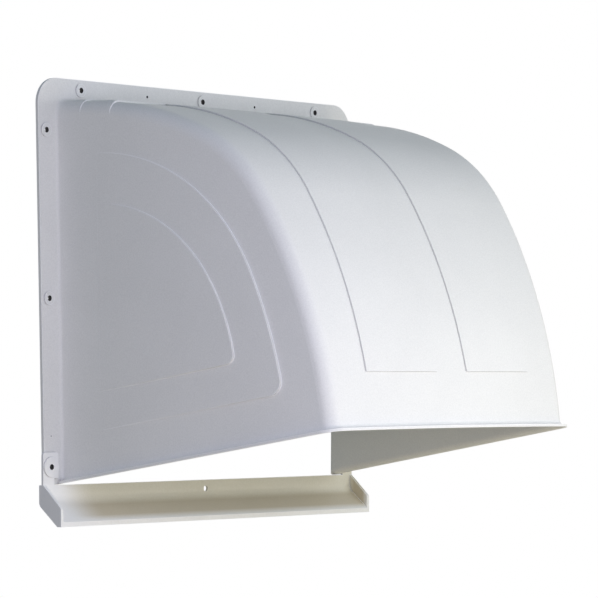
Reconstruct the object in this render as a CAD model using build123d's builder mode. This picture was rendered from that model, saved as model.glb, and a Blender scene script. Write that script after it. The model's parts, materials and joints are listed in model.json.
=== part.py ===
"""Wall weather hood with its drip tray.

Millimetres, +Z up. The wall is the plane Y = 0 and the hood stands out from it towards -Y. The origin is on the
wall face, on the axis of the middle screw hole of the top row. Depths are measured forward from the front face of
the hood's flange.
"""
import os
from math import atan, cos, degrees, radians, sin, tan

from build123d import *

os.makedirs("parts", exist_ok=True)

# Flange that lies on the wall
flange_thickness = 4.0
flange_top = 12.5
flange_half_width = 285.0  # at the top edge
flange_side = 30.0  # flange beside the hood's walls
side_taper = 1.08  # degrees, everything narrows downwards by this on each side
flange_corner = 31.0
flange_fillet = 4.0

# Shell of the hood
sheet = 3.0
wall_draft = 4.4  # degrees, the side walls close in towards the front
roof_drop = 17.5  # roof below the top screw row, at the flange
roof_level_run = 49.0  # level part of the roof, before its three tangent arcs
roof_radius = 405.0
shoulder_radius = 198.0
front_radius = 628.0
roof_turn = 25.5  # degrees
shoulder_turn = 32.1  # degrees
front_turn = 24.6  # degrees
shell_corner = 17.0  # roof to side wall
bow_axis_y = 2600.0  # upright axis behind the wall, the roof and front are turned about it
skirt_length = 100.0  # straight run below the arcs, before the bottom is cut

# Sloping open bottom with its turned-out rim
bottom_at_flange = -466.3
bottom_slope = 8.95  # degrees, rising towards the front
rim_width = 8.0
rim_thickness = 3.0
rim_fillet = 5.0

# Raised areas: two steps across the roof, and two strips that run down the front
raise_height = 1.8
upper_step_depth = 36.0
lower_step_depth = 81.0
strip_inner = 27.0
strip_outer = 151.5
strip_end = -337.0

# Pair of panels on each side wall: start of the curved edge at the back, its tangent arcs, and the corner below
panel_merge_depth = 50.0  # here the panels are flush with the wall
panel_tilt = 0.75  # degrees, each panel stands out by this more towards the front
panel_round = 0.8
large_panel_top = -79.3
large_panel_radius = 246.4
large_panel_turn = 65.0  # degrees
large_panel_end_radius = 566.0
large_panel_end_turn = 14.9  # degrees
large_panel_corner = 16.0
small_panel_top = -138.4
small_panel_radius = 197.0
small_panel_turn = 55.8  # degrees
small_panel_end_radius = 240.0
small_panel_end_turn = 26.4  # degrees
small_panel_corner = 11.0
panel_back_depth = 60.0
panel_floor_slope = 8.9  # degrees
panel_block = 9.0  # length of the panel prisms, into the wall

# Screw holes
screw_hole = 6.5
pilot_hole = 3.0
top_screw_spacing = 213.8
pilot_spacing = 98.3
side_screw_heights = [-50.0, -248.0]
tab_screw_height = -446.0
screw_from_edge = 12.1
boss_diameter = 16.0
boss_height = 1.8
dimple_diameter = 2.5
dimple_depth = 1.0
dimple_height = -410.0

# Drip tray
tray_setback = 4.0  # ends of the tray, inwards from the flange's top corners
tray_sheet = 3.0
tray_top = -467.2
tray_bend_height = -486.0  # the back plate turns into the floor here
tray_bend_radius = 14.0
tray_floor_slope = 39.5  # degrees, falling towards the front
tray_reach = 32.0  # front edge, measured from the flange's front face
tray_lip_height = 5.5
tray_end_thickness = 4.0
tray_end_front = -494.0  # top of the end walls, at the front
tray_end_skirt = 10.6  # end walls below the floor's upper face
tray_end_back_round = 8.0
tray_end_front_round = 5.0
tab_width = 25.0
tab_top = -429.0
tab_corner = 3.0
tab_notch_width = 6.7
tab_notch_top = -459.0
tab_boss_diameter = 23.5
tab_boss_height = 1.8
drain_hole = 7.5
drain_height = -478.0

# Worked out from the above
flange_front = -flange_thickness
wall_half_width = flange_half_width - flange_side  # outside, at the flange's top edge
roof_arcs = [(roof_radius, roof_turn), (shoulder_radius, shoulder_turn), (front_radius, front_turn)]
mouth_round = flange_fillet + sheet  # inner edges at the wall and at the bottom follow the outer bends
bow_half_angle = degrees(atan(flange_half_width / bow_axis_y))
bow_axis = Axis((0, bow_axis_y, 0), (0, 0, 1))
bow_start = Plane(
    origin=(0, bow_axis_y, 0),
    x_dir=(sin(radians(bow_half_angle)), cos(radians(bow_half_angle)), 0),
    z_dir=(cos(radians(bow_half_angle)), -sin(radians(bow_half_angle)), 0),
)
bottom_plane = Plane(
    origin=(0, flange_front, bottom_at_flange),
    x_dir=(1, 0, 0),
    z_dir=(0, sin(radians(bottom_slope)), cos(radians(bottom_slope))),
)
large_panel_arcs = [(large_panel_radius, large_panel_turn), (large_panel_end_radius, large_panel_end_turn)]
small_panel_arcs = [(small_panel_radius, small_panel_turn), (small_panel_end_radius, small_panel_end_turn)]
side_panels = [
    (large_panel_top, large_panel_arcs, large_panel_corner),
    (small_panel_top, small_panel_arcs, small_panel_corner),
]
tray_half_length = flange_half_width - tray_setback
tab_inner = tray_half_length - tab_width
tab_notch_inner = tab_inner + tab_notch_width
tab_middle = (tab_inner + tray_half_length) / 2
helper_heights = (-520.0, 40.0)  # cutting boxes reach past the whole hood
helper_front = -450.0
past_wall = 12.0  # the hollow is cut this far through the wall face


def narrowing(height):
    """Half-width lost at a height, counted from the flange's top edge."""
    return tan(radians(side_taper)) * (flange_top - height)


def screw_place(side, height):
    """Hole on a side of the flange, at a constant distance from its slanting edge; side is -1 or 1."""
    return (side * (flange_half_width - narrowing(height) - screw_from_edge), height)


def wall_offset(y, height, grow):
    """Distance of a side wall's surface from the middle plane; grow moves it outwards."""
    closing_in = tan(radians(wall_draft)) * (flange_front - y)
    return wall_half_width - closing_in - narrowing(height) + grow


def wall_plane(side, grow):
    """Plane of a side wall's surface, facing outwards; side is -1 or 1."""
    return Plane(
        origin=(side * wall_offset(flange_front, 0, grow), flange_front, 0),
        z_dir=(side, -tan(radians(wall_draft)), -tan(radians(side_taper))),
    )


def lies_on(edge, plane):
    """True for an edge whose ends and middle are in a plane."""
    return all(abs(plane.to_local_coords(edge @ place).Z) < 1e-3 for place in (0, 0.5, 1))


def touches(edge, solid):
    """True for an edge whose middle is on a solid's surface or inside it."""
    return solid.distance_to(Vertex(*(edge @ 0.5))) < 1e-2


def hood_block(level, grow, rear):
    """Solid under the roof and front: level raises those two alone, grow moves every surface outwards."""
    with BuildPart() as block:
        with BuildSketch(bow_start):
            with BuildLine():
                roof = level + grow - roof_drop
                level_end = flange_front - roof_level_run
                run = Line((rear - bow_axis_y, roof), (level_end - bow_axis_y, roof))
                back_corner = run @ 0
                for radius, turn in roof_arcs:
                    run = JernArc(run @ 1, run % 1, radius + level + grow, turn)
                run = Line(run @ 1, run @ 1 + skirt_length * (run % 1))
                foot = Line(run @ 1, (back_corner.X, (run @ 1).Y))
                Line(foot @ 1, back_corner)
            make_face()
        revolve(axis=bow_axis, revolution_arc=2 * bow_half_angle)
        rear_plane = Plane.XZ.offset(-rear)
        split(bisect_by=rear_plane, keep=Keep.TOP)
        for side in (-1, 1):
            split(bisect_by=wall_plane(side, grow), keep=Keep.BOTTOM)
        sides = block.faces().sort_by(Axis.X)
        corner_edges = sides[0].edges() + sides[-1].edges()
        corner_edges = corner_edges.sort_by(Axis.Z)[2:]
        fillet(corner_edges.filter_by(lambda edge: not lies_on(edge, rear_plane)), shell_corner + grow)
        split(bisect_by=bottom_plane, keep=Keep.TOP)
    return block.part


def box_between(left, right, rear, front, low, high):
    """Plain box given by its six faces."""
    with BuildPart() as box:
        with BuildSketch(Plane.XY.offset(low)):
            Polygon((left, rear), (left, front), (right, front), (right, rear), align=None)
        extrude(amount=high - low)
    return box.part


def roof_steps(grow, rear):
    """The two raised levels: one step near the wall, and one that carries the strips down the front."""
    low, high = helper_heights
    with BuildPart() as upper:
        add(hood_block(2 * raise_height, grow, rear))
        front = flange_front - upper_step_depth - grow
        add(box_between(-flange_half_width, flange_half_width, rear, front, low, high), mode=Mode.INTERSECT)
    with BuildPart() as fingers:
        front = flange_front - lower_step_depth - grow
        add(box_between(-flange_half_width, flange_half_width, rear, front, low, high))
        for side in (-1, 1):
            near, far = sorted((side * (strip_inner - grow), side * (strip_outer + grow)))
            add(box_between(near, far, rear, helper_front, strip_end - grow, high))
    with BuildPart() as steps:
        add(hood_block(raise_height, grow, rear))
        add(fingers.part, mode=Mode.INTERSECT)
        add(upper.part)
    return steps.part


def side_panel(top, arcs, corner, order, grow):
    """Prism of one panel on the left wall; its outer face is flush with the wall at the merging depth."""
    tilt = radians(wall_draft - order * panel_tilt)
    hinge_y = flange_front - panel_merge_depth
    face = Plane(
        origin=(-wall_offset(hinge_y, 0, grow), hinge_y, 0),
        x_dir=(sin(tilt), -cos(tilt), 0),
        z_dir=(-1, -tan(tilt), -tan(radians(side_taper))),
    )
    with BuildPart() as panel:
        with BuildSketch(face) as outline:
            with BuildLine():
                back_corner = Vector(panel_back_depth - panel_merge_depth, top)
                edge = JernArc(back_corner, (1, 0), arcs[0][0], -arcs[0][1])
                edge = JernArc(edge @ 1, edge % 1, arcs[1][0], -arcs[1][1])
                length = (edge @ 1).X - back_corner.X
                fall = tan(radians(panel_floor_slope)) * length
                base = Line(edge @ 1, edge @ 1 - Vector(length, fall))
                Line(base @ 1, back_corner)
            make_face()
            fillet(outline.vertices().sort_by(Axis.X)[-1], corner)
            if grow < 0:
                offset(amount=grow)
        extrude(amount=-panel_block)
        if grow == 0:
            fillet(panel.faces().sort_by(Axis.X)[0].edges(), panel_round)
    return panel.part


def hood_form(grow, rear):
    """Whole form of the hood as a solid, with its steps, strips and panels."""
    with BuildPart() as form:
        add(hood_block(0, grow, rear))
        add(roof_steps(grow, rear))
        for order, (top, arcs, corner) in enumerate(side_panels, start=1):
            panel = side_panel(top, arcs, corner, order, grow)
            add(panel)
            add(panel.mirror(Plane.YZ))
    return form.part


# Places of the screw holes
top_screws = [(-top_screw_spacing, 0), (0, 0), (top_screw_spacing, 0)]
side_screws = [screw_place(side, height) for height in side_screw_heights for side in (-1, 1)]
tab_screws = [(side * tab_middle, tab_screw_height) for side in (-1, 1)]
dimples = [screw_place(side, dimple_height) for side in (-1, 1)]

# Walls with the turned-out rim blended into them
walls = hood_block(0, 0, 0)
rim_top = bottom_plane.offset(rim_thickness)
with BuildPart() as rim_band:
    add(hood_block(0, rim_width, 0))
    split(bisect_by=rim_top, keep=Keep.BOTTOM)

with BuildPart() as rimmed_walls:
    add(walls)
    add(rim_band.part)
    rim_joint = rimmed_walls.edges().filter_by(lambda edge: lies_on(edge, rim_top) and touches(edge, walls))
    fillet(rim_joint, rim_fillet)

# Flange plate with its two rounded top corners
with BuildPart() as flange_plate:
    with BuildSketch(Plane.XZ) as flange_outline:
        low = helper_heights[0]
        foot = flange_half_width - narrowing(low)
        Polygon(
            (-flange_half_width, flange_top), (-foot, low), (foot, low), (flange_half_width, flange_top), align=None
        )
        fillet(flange_outline.vertices().group_by(Axis.Y)[-1], flange_corner)
    extrude(amount=flange_thickness)
    split(bisect_by=bottom_plane, keep=Keep.TOP)

# Hood: the form on its flange, hollowed out, with rounded inner edges at the wall and around the mouth
form = hood_form(0, 0)
hollow = hood_form(-sheet, past_wall)
front_face = Plane.XZ.offset(flange_thickness)
with BuildPart() as hood_shell:
    add(form)
    add(flange_plate.part)
    wall_joint = hood_shell.edges().filter_by(lambda edge: lies_on(edge, front_face) and touches(edge, form))
    fillet(wall_joint, flange_fillet)
    add(rimmed_walls.part)
    add(hollow, mode=Mode.SUBTRACT)
    mouth_edges = hood_shell.edges().filter_by(
        lambda edge: touches(edge, hollow) and (lies_on(edge, Plane.XZ) or lies_on(edge, bottom_plane))
    )
    fillet(mouth_edges, mouth_round)

    # Screw bosses on the flange, then every hole through it
    with BuildSketch(front_face):
        with Locations(*top_screws, *side_screws):
            Circle(boss_diameter / 2)
    extrude(amount=boss_height)
    with BuildSketch(front_face.offset(boss_height)):
        with Locations(*top_screws, *side_screws, *tab_screws):
            Circle(screw_hole / 2)
        with Locations((-pilot_spacing, 0), (pilot_spacing, 0)):
            Circle(pilot_hole / 2)
    extrude(amount=-(boss_height + flange_thickness), mode=Mode.SUBTRACT)
    with BuildSketch(front_face):
        with Locations(*dimples):
            Circle(dimple_diameter / 2)
    extrude(amount=-dimple_depth, mode=Mode.SUBTRACT)

hood_shell.part.label = "hood_shell"
export_step(hood_shell.part, "parts/hood_shell.step")

# Drip tray: back plate, floor and lip in one bent sheet, closed by an end wall on each side
plate_front = flange_front - tray_sheet
tray_front = flange_front - tray_reach
floor_rise = tan(radians(tray_floor_slope))
floor_front = tray_bend_height + floor_rise * (tray_front - plate_front)
lip_bottom = floor_front - tray_lip_height
skirt_back = tray_bend_height - floor_rise * plate_front - tray_end_skirt
tab_face = Plane.XZ.offset(-plate_front)
with BuildPart() as drip_tray:
    with BuildSketch(Plane.YZ):
        with BuildLine():
            FilletPolyline(
                (plate_front, tray_top),
                (plate_front, tray_bend_height),
                (tray_front, floor_front),
                radius=tray_bend_radius,
            )
            offset(amount=tray_sheet, side=Side.LEFT)
        make_face()
        with Locations((tray_front, lip_bottom)):
            Rectangle(tray_sheet, tray_lip_height, align=Align.MIN)
    extrude(amount=tray_half_length, both=True)

    for side in (-1, 1):
        with BuildSketch(Plane.YZ.offset(side * tray_half_length)) as end_wall:
            Polygon(
                (0, tray_top),
                (plate_front, tray_top),
                (tray_front, tray_end_front),
                (tray_front, lip_bottom),
                ((lip_bottom - skirt_back) / floor_rise, lip_bottom),
                (0, skirt_back),
                align=None,
            )
            fillet(end_wall.vertices().sort_by_distance((0, skirt_back, 0))[0], tray_end_back_round)
            fillet(end_wall.vertices().sort_by_distance((tray_front, tray_end_front, 0))[0], tray_end_front_round)
        extrude(amount=-side * tray_end_thickness)

        # Tab on the flange's front face, notched beside the hood's wall, with a wide boss around its screw hole
        with BuildSketch(tab_face) as tab:
            with Locations((side * tab_middle, (tab_top + tray_top) / 2)):
                Rectangle(tab_width, tab_top - tray_top)
            fillet(tab.vertices().group_by(Axis.Y)[-1], tab_corner)
            with Locations((side * (tab_inner + tab_notch_inner) / 2, (tab_notch_top + tray_top) / 2)):
                Rectangle(tab_notch_width, tab_notch_top - tray_top, mode=Mode.SUBTRACT)
        extrude(amount=-tray_sheet)
        with BuildSketch(tab_face):
            with Locations((side * tab_middle, tab_screw_height)):
                Circle(tab_boss_diameter / 2)
        extrude(amount=tab_boss_height)

    with BuildSketch(tab_face.offset(tab_boss_height)):
        with Locations(*tab_screws):
            Circle(screw_hole / 2)
        with Locations((0, drain_height)):
            Circle(drain_hole / 2)
    extrude(amount=-(tab_boss_height + tray_sheet), mode=Mode.SUBTRACT)

drip_tray.part.label = "drip_tray"
export_step(drip_tray.part, "parts/drip_tray.step")
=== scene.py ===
"""Studio scene for the wall weather hood and its drip tray. Metres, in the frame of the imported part."""
import json

import bpy
from mathutils import Matrix, Vector

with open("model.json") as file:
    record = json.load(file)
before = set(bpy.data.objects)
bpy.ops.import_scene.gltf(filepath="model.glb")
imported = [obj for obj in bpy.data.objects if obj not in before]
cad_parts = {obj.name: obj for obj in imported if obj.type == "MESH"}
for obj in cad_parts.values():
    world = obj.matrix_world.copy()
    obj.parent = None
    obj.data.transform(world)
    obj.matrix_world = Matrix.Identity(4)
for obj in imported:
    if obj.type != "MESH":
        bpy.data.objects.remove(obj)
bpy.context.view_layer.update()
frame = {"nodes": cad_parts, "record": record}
hood = frame["nodes"]["hood_shell"]
tray = frame["nodes"]["drip_tray"]

# Camera: a long lens, level with the lower part of the hood, off its left front corner
camera_place = Vector((-2.9293, -2.6908, -0.3631))
camera_right = Vector((0.65374, -0.75669, -0.00639))
camera_up = Vector((-0.01835, -0.02430, 0.99954))
lens_mm = 193.38
sensor_mm = 36.0
view_limit = 100.0

# Studio: the floor is sand-coloured, and the camera sees it as white with a soft shadow
floor_height = -0.9
floor_size = 60.0
floor_colour = (0.78, 0.67, 0.45, 1.0)
floor_roughness = 0.9
shadow_reach = 1.5
room_colour = (0.69, 0.86, 1.0, 1.0)
room_strength = 0.26
white = (1.0, 1.0, 1.0, 1.0)
lamp_aim = Vector((0.0, -0.2, -0.27))

# Soft boxes in front of the hood, two at its left and one behind its right:
# name, place, width, height, watts, colour
soft_boxes = [
    ("front_lamp", (0.1, -1.3, -0.15), 0.5, 0.4, 2.5, (1.0, 1.0, 1.0)),
    ("front_left_lamp", (-0.45, -1.6, -0.05), 0.4, 0.4, 2.0, (1.0, 1.0, 1.0)),
    ("front_right_lamp", (1.0, -1.4, -0.1), 0.6, 0.6, 4.5, (1.0, 1.0, 1.0)),
    ("low_lamp", (0.1, -1.4, -0.6), 0.6, 0.3, 2.3, (1.0, 1.0, 1.0)),
    ("left_lamp", (-1.6, -1.5, -0.1), 0.9, 0.9, 7.0, (0.77, 0.75, 1.0)),
    ("near_left_lamp", (-0.9, -0.9, -0.25), 0.5, 0.5, 1.85, (0.79, 0.76, 1.0)),
    ("back_lamp", (1.7, 1.4, 0.1), 0.9, 0.9, 5.0, (1.0, 1.0, 1.0)),
]

# Finish of the two mouldings: two tones, the range of roughness, the depth of the grain and the gloss
hood_finish = {
    "base": (0.84, 0.837, 0.822, 1.0),
    "shade": (0.75, 0.748, 0.735, 1.0),
    "smooth": 0.5,
    "rough": 0.62,
    "bump": 0.0001,
    "specular": 0.35,
}
tray_finish = {
    "base": (0.95, 0.95, 0.94, 1.0),
    "shade": (0.92, 0.92, 0.91, 1.0),
    "smooth": 0.38,
    "rough": 0.5,
    "bump": 0.00005,
    "specular": 0.4,
}

# Moulded skin: slow clouds and fine grain, and the spans of their noise that are used
cloud_scale = 9.0
cloud_detail = 4.0
cloud_span = (0.3, 0.7)
grain_scale = 650.0
grain_detail = 3.0
grain_roughness = 0.6
speckle_span = (0.35, 0.65)
speckle_part = 0.65
gloss_span = (0.25, 0.75)

# Painted shade: the walls of the screw holes are painted nearly black against the pale plastic, where they
# would lie in shade
painted_hole_shade_colour = (0.015, 0.015, 0.016, 1.0)
hole_margin = 1.05

# Painted highlight: edges of raised forms are painted paler than the faces beside them, apart from the long
# sides of the front strips
edge_reach = 0.0016
edge_share = 0.75
edge_highlight_colour = (0.96, 0.96, 0.97, 1.0)
edge_span = (0.995, 0.93)  # agreement of the rounded normal with the true one
level_span = (0.14, 0.07)  # sideways part of the rounded normal
strip_zone = (0.16, 0.2)  # the strips end inside these distances from the middle
mask_samples = 8

# Painted shade: dark lines in narrow corners, where shade falls, apart from the side walls, which begin this
# far in front of the wall
wall_start = -0.012
corner_shade_reach = 0.006
corner_shade_share = 0.7
corner_shade_colour = (0.36, 0.35, 0.34, 1.0)
corner_shade_span = (0.8, 0.35)  # openness of a corner

# Painted shadow of the hood on the tray, in cream tones, by the share of the way from the wall to its front
# edge
tray_back = -0.005
tray_front = -0.036
tray_shadow_tones = [
    (0.1, (0.75, 0.72, 0.60, 1.0)),
    (0.3, (0.60, 0.54, 0.41, 1.0)),
    (0.75, (0.64, 0.58, 0.45, 1.0)),
    (0.97, (0.96, 0.96, 0.94, 1.0)),
]
tray_shadow_darkening = (0.92, 0.91, 0.88, 1.0)

# The left end of the tray is left pale as if lit, the painted shadow fades in along it, and its outer face
# gets a painted shade
lit_end_span = (-0.262, -0.195)
shaded_face_limit = -0.2805
face_shade_tone = (0.76, 0.76, 0.77, 1.0)

colour_socket = "NodeSocketColor"
number_socket = "NodeSocketFloat"


def add(tree, kind, sockets, **settings):
    """Adds a node; each of its sockets is set to a value or linked to another node's output."""
    node = tree.nodes.new(kind)
    for setting, value in settings.items():
        setattr(node, setting, value)
    for socket, value in sockets.items():
        if isinstance(value, bpy.types.NodeSocket):
            tree.links.new(value, node.inputs[socket])
        else:
            node.inputs[socket].default_value = value
    return node


def calculate(tree, operation, first, second=0.0):
    """Number worked out from two others."""
    return add(tree, "ShaderNodeMath", {0: first, 1: second}, operation=operation).outputs[0]


def spread(tree, value, span, top=1.0, bottom=0.0, **settings):
    """Number that runs from bottom to top while the value runs through the span."""
    sockets = {"Value": value, "From Min": span[0], "From Max": span[1], "To Min": bottom, "To Max": top}
    return add(tree, "ShaderNodeMapRange", sockets, **settings).outputs["Result"]


def blend(tree, share, first, second, **settings):
    """Colour between two colours."""
    sockets = {"Factor": share, "A": first, "B": second}
    return add(tree, "ShaderNodeMix", sockets, data_type="RGBA", **settings).outputs["Result"]


def axes_of(tree, vector):
    """X, Y and Z of a vector."""
    return add(tree, "ShaderNodeSeparateXYZ", {"Vector": vector}).outputs


def object_place(tree):
    """Place on the object."""
    return add(tree, "ShaderNodeTexCoord", {}).outputs["Object"]


def beside_strips(tree, across):
    """Number that is 0 in the zone of the front strips and 1 beside it."""
    return spread(tree, calculate(tree, "ABSOLUTE", across), strip_zone)


def new_group(name, inputs, outputs):
    """Node group with named sockets: the group, what it is given and what it puts out."""
    group = bpy.data.node_groups.new(name, "ShaderNodeTree")
    for direction, sockets in (("INPUT", inputs), ("OUTPUT", outputs)):
        for socket, kind in sockets.items():
            group.interface.new_socket(socket, in_out=direction, socket_type=kind)
    given = group.nodes.new("NodeGroupInput").outputs
    result = group.nodes.new("NodeGroupOutput").inputs
    return group, given, result


def soft_box(name, place, width, height, power, colour):
    """Rectangular lamp that shines on the middle of the hood."""
    lamp = bpy.data.lights.new(name, "AREA")
    lamp.shape = "RECTANGLE"
    lamp.size = width
    lamp.size_y = height
    lamp.energy = power
    lamp.color = colour
    holder = bpy.data.objects.new(name, lamp)
    bpy.context.scene.collection.objects.link(holder)
    direction = (lamp_aim - Vector(place)).normalized()
    turn = direction.to_track_quat("-Z", "Y").to_matrix().to_4x4()
    holder.matrix_world = Matrix.Translation(Vector(place)) @ turn


def white_to_view(tree, surface, white_surface):
    """Shows the white shader to the camera and in reflections, and the other shader to everything else."""
    rays = add(tree, "ShaderNodeLightPath", {}).outputs
    seen = calculate(tree, "MAXIMUM", rays["Is Camera Ray"], rays["Is Glossy Ray"])
    seen = calculate(tree, "MAXIMUM", seen, rays["Is Transmission Ray"])
    return add(tree, "ShaderNodeMixShader", {0: seen, 1: surface, 2: white_surface}).outputs[0]


def make_room():
    """Bluish room light, seen as white."""
    scene = bpy.context.scene
    scene.view_settings.view_transform = "Standard"
    scene.world = bpy.data.worlds.new("white_room")
    scene.world.use_nodes = True
    tree = scene.world.node_tree
    tree.nodes.clear()
    room = add(tree, "ShaderNodeBackground", {"Color": room_colour, "Strength": room_strength})
    white_room = add(tree, "ShaderNodeBackground", {"Color": white, "Strength": 1.0})
    seen_room = white_to_view(tree, room.outputs[0], white_room.outputs[0])
    add(tree, "ShaderNodeOutputWorld", {"Surface": seen_room})


def make_floor():
    """Pale floor, seen as white with a soft shadow under the object."""
    bpy.ops.mesh.primitive_plane_add(size=floor_size, location=(0, 0, floor_height))
    floor = bpy.context.object
    floor.name = "studio_floor"
    paint = bpy.data.materials.new("floor_paint")
    paint.use_nodes = True
    tree = paint.node_tree
    shader = tree.nodes["Principled BSDF"]
    shader.inputs["Base Color"].default_value = floor_colour
    shader.inputs["Roughness"].default_value = floor_roughness
    shadow = add(tree, "ShaderNodeAmbientOcclusion", {"Distance": shadow_reach})
    shaded_white = add(tree, "ShaderNodeEmission", {"Color": shadow.outputs["Color"]})
    seen_floor = white_to_view(tree, shader.outputs[0], shaded_white.outputs[0])
    tree.links.new(seen_floor, tree.nodes["Material Output"].inputs["Surface"])
    floor.data.materials.append(paint)


def make_camera():
    """Camera at the photograph's viewing angle."""
    data = bpy.data.cameras.new("photo_camera")
    data.sensor_fit = "HORIZONTAL"
    data.sensor_width = sensor_mm
    data.lens = lens_mm
    data.clip_end = view_limit
    camera = bpy.data.objects.new("photo_camera", data)
    bpy.context.scene.collection.objects.link(camera)
    right = camera_right.normalized()
    back = right.cross(camera_up).normalized()
    up = back.cross(right)
    turn = Matrix((right, up, back)).transposed().to_4x4()
    camera.matrix_world = Matrix.Translation(camera_place) @ turn
    bpy.context.scene.camera = camera


def moulded_surface():
    """Node group: the fine grain and slow unevenness of a moulded plastic skin."""
    tones = {"Base": colour_socket, "Shade": colour_socket}
    numbers = {"Grain Scale": number_socket, "Smooth": number_socket, "Rough": number_socket}
    outputs = {"Color": colour_socket, "Roughness": number_socket, "Height": number_socket}
    group, given, result = new_group("moulded_surface", tones | numbers, outputs)
    place = object_place(group)
    cloud_sockets = {"Vector": place, "Scale": cloud_scale, "Detail": cloud_detail}
    clouds = add(group, "ShaderNodeTexNoise", cloud_sockets).outputs["Fac"]
    grain_sockets = {"Vector": place, "Scale": given["Grain Scale"], "Detail": grain_detail}
    grain_sockets["Roughness"] = grain_roughness
    grain = add(group, "ShaderNodeTexNoise", grain_sockets).outputs["Fac"]
    cloud_share = spread(group, clouds, cloud_span)
    speckle_share = spread(group, grain, speckle_span)
    uneven = add(group, "ShaderNodeMix", {"Factor": speckle_part, "A": cloud_share, "B": speckle_share})
    tint = blend(group, uneven.outputs["Result"], given["Base"], given["Shade"])
    roughness = spread(group, grain, gloss_span, top=given["Rough"], bottom=given["Smooth"])
    group.links.new(tint, result["Color"])
    group.links.new(roughness, result["Roughness"])
    group.links.new(grain, result["Height"])
    return group


def hole_places():
    """Right half of the screw holes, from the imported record: distance from the middle, height and radius."""
    places = []
    for mount in frame["record"]["mounts"]:
        sizes = mount["dims"]
        height = mount["pos_m"][2]
        if mount["kind"] == "bolt_pattern":
            places.append((sizes["spacing_x_mm"] / 2000, height, sizes["hole_r_mm"] / 1000))
        elif mount["kind"] == "bore":
            places.append((mount["pos_m"][0], height, sizes["r_mm"] / 1000))
    return places


def hole_shadow():
    """Node group: a mask for the painted shade in the screw holes, 1 on their walls and 0 elsewhere."""
    group, _, result = new_group("hole_shadow", {}, {"Mask": number_socket})
    axes = axes_of(group, object_place(group))
    distance = calculate(group, "ABSOLUTE", axes["X"])
    flat = add(group, "ShaderNodeCombineXYZ", {"X": distance, "Z": axes["Z"]}).outputs["Vector"]
    mask = 0.0
    for middle, height, radius in hole_places():
        away = add(group, "ShaderNodeVectorMath", {0: flat, 1: (middle, 0, height)}, operation="DISTANCE")
        inside = calculate(group, "LESS_THAN", away.outputs["Value"], radius * hole_margin)
        mask = calculate(group, "MAXIMUM", mask, inside)
    group.links.new(mask, result["Mask"])
    return group


def painted_edge_highlight():
    """Node group: a mask for the painted highlight along the edges of raised forms, up to the given share."""
    inputs = {"Reach": number_socket, "Share": number_socket}
    group, given, result = new_group("painted_edge_highlight", inputs, {"Mask": number_socket})
    reach = {"Radius": given["Reach"]}
    rounded = add(group, "ShaderNodeBevel", reach, samples=mask_samples).outputs["Normal"]
    true_normal = add(group, "ShaderNodeNewGeometry", {}).outputs["Normal"]
    agreement = add(group, "ShaderNodeVectorMath", {0: rounded, 1: true_normal}, operation="DOT_PRODUCT")
    across = axes_of(group, object_place(group))["X"]
    sideways = calculate(group, "ABSOLUTE", axes_of(group, rounded)["X"])
    level = spread(group, sideways, level_span)
    where = calculate(group, "MAXIMUM", beside_strips(group, across), level)
    share = calculate(group, "MULTIPLY", given["Share"], where)
    mask = spread(group, agreement.outputs["Value"], edge_span, top=share)
    group.links.new(mask, result["Mask"])
    return group


def painted_corner_shade():
    """Node group: a mask for the painted shade in narrow corners, up to the given share."""
    inputs = {"Reach": number_socket, "Share": number_socket}
    group, given, result = new_group("painted_corner_shade", inputs, {"Mask": number_socket})
    reach = {"Distance": given["Reach"]}
    openness = add(group, "ShaderNodeAmbientOcclusion", reach, samples=mask_samples).outputs["AO"]
    axes = axes_of(group, object_place(group))
    off_flange = calculate(group, "LESS_THAN", axes["Y"], wall_start)
    side_wall = calculate(group, "MULTIPLY", beside_strips(group, axes["X"]), off_flange)
    elsewhere = calculate(group, "SUBTRACT", 1.0, side_wall)
    share = calculate(group, "MULTIPLY", given["Share"], elsewhere)
    mask = spread(group, openness, corner_shade_span, top=share)
    group.links.new(mask, result["Mask"])
    return group


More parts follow.
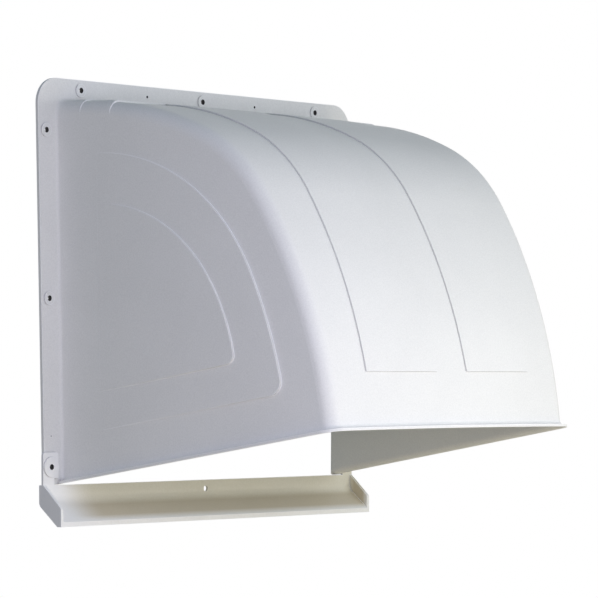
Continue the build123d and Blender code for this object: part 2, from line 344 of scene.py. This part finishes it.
def moulded_plastic(name, finish, skin, painted_light_marks):
    """Plastic with a moulded skin, and the painted highlight and shade laid over it in turn: mask group, its
    inputs, colour.
    """
    plastic = bpy.data.materials.new(name)
    plastic.use_nodes = True
    tree = plastic.node_tree
    tones = {"Base": finish["base"], "Shade": finish["shade"]}
    numbers = {"Grain Scale": grain_scale, "Smooth": finish["smooth"], "Rough": finish["rough"]}
    surface = add(tree, "ShaderNodeGroup", {}, node_tree=skin, name="moulded_skin")
    for socket, value in (tones | numbers).items():
        surface.inputs[socket].default_value = value
    colour = surface.outputs["Color"]
    for mask_group, sizes, painted_colour in painted_light_marks:
        mask = add(tree, "ShaderNodeGroup", sizes, node_tree=mask_group).outputs["Mask"]
        colour = blend(tree, mask, colour, painted_colour)
    depth = {"Strength": 1.0, "Distance": finish["bump"], "Height": surface.outputs["Height"]}
    relief = add(tree, "ShaderNodeBump", depth)
    shader = tree.nodes["Principled BSDF"]
    shader.inputs["Specular IOR Level"].default_value = finish["specular"]
    tree.links.new(colour, shader.inputs["Base Color"])
    tree.links.new(surface.outputs["Roughness"], shader.inputs["Roughness"])
    tree.links.new(relief.outputs["Normal"], shader.inputs["Normal"])
    return plastic


def paint_tray_shadow(plastic):
    """Paints the hood's shadow on the tray in cream tones, darkest on its floor, apart from its lip and its
    left end, which stay pale as if lit.
    """
    tree = plastic.node_tree
    surface = tree.nodes["moulded_skin"]
    axes = axes_of(tree, object_place(tree))
    depth = spread(tree, axes["Y"], (tray_back, tray_front))
    tones = add(tree, "ShaderNodeValToRGB", {"Fac": depth})
    stops = tones.color_ramp.elements
    while len(stops) < len(tray_shadow_tones):
        stops.new(0.5)
    for stop, (share, tone) in zip(stops, tray_shadow_tones):
        stop.position = share
        stop.color = tone
    shadow_tone = tones.outputs["Color"]
    darker_shadow_tone = blend(tree, 1.0, shadow_tone, tray_shadow_darkening, blend_type="MULTIPLY")
    # The left end is kept pale as if lit, and its outer face gets a painted shade
    shadow_share = spread(tree, axes["X"], lit_end_span, interpolation_type="SMOOTHSTEP")
    outer_face = calculate(tree, "LESS_THAN", axes["X"], shaded_face_limit)
    for socket, tone in (("Base", shadow_tone), ("Shade", darker_shadow_tone)):
        pale = surface.inputs[socket].default_value[:]
        end_tone = blend(tree, outer_face, pale, face_shade_tone)
        tree.links.new(blend(tree, shadow_share, end_tone, tone), surface.inputs[socket])


def dress(node, material):
    """Gives a node its finish."""
    node.data.materials.clear()
    node.data.materials.append(material)


make_camera()
make_room()
make_floor()
for box in soft_boxes:
    soft_box(*box)

skin = moulded_surface()
# Painted highlight on edges, painted shade in narrow corners and in the screw holes
painted_light_marks = [
    (painted_edge_highlight(), {"Reach": edge_reach, "Share": edge_share}, edge_highlight_colour),
    (painted_corner_shade(), {"Reach": corner_shade_reach, "Share": corner_shade_share}, corner_shade_colour),
    (hole_shadow(), {}, painted_hole_shade_colour),
]
hood_plastic = moulded_plastic("hood_plastic", hood_finish, skin, painted_light_marks)
tray_plastic = moulded_plastic("tray_plastic", tray_finish, skin, painted_light_marks)
# The tray gets the hood's shadow painted into its colour
paint_tray_shadow(tray_plastic)
dress(hood, hood_plastic)
dress(tray, tray_plastic)
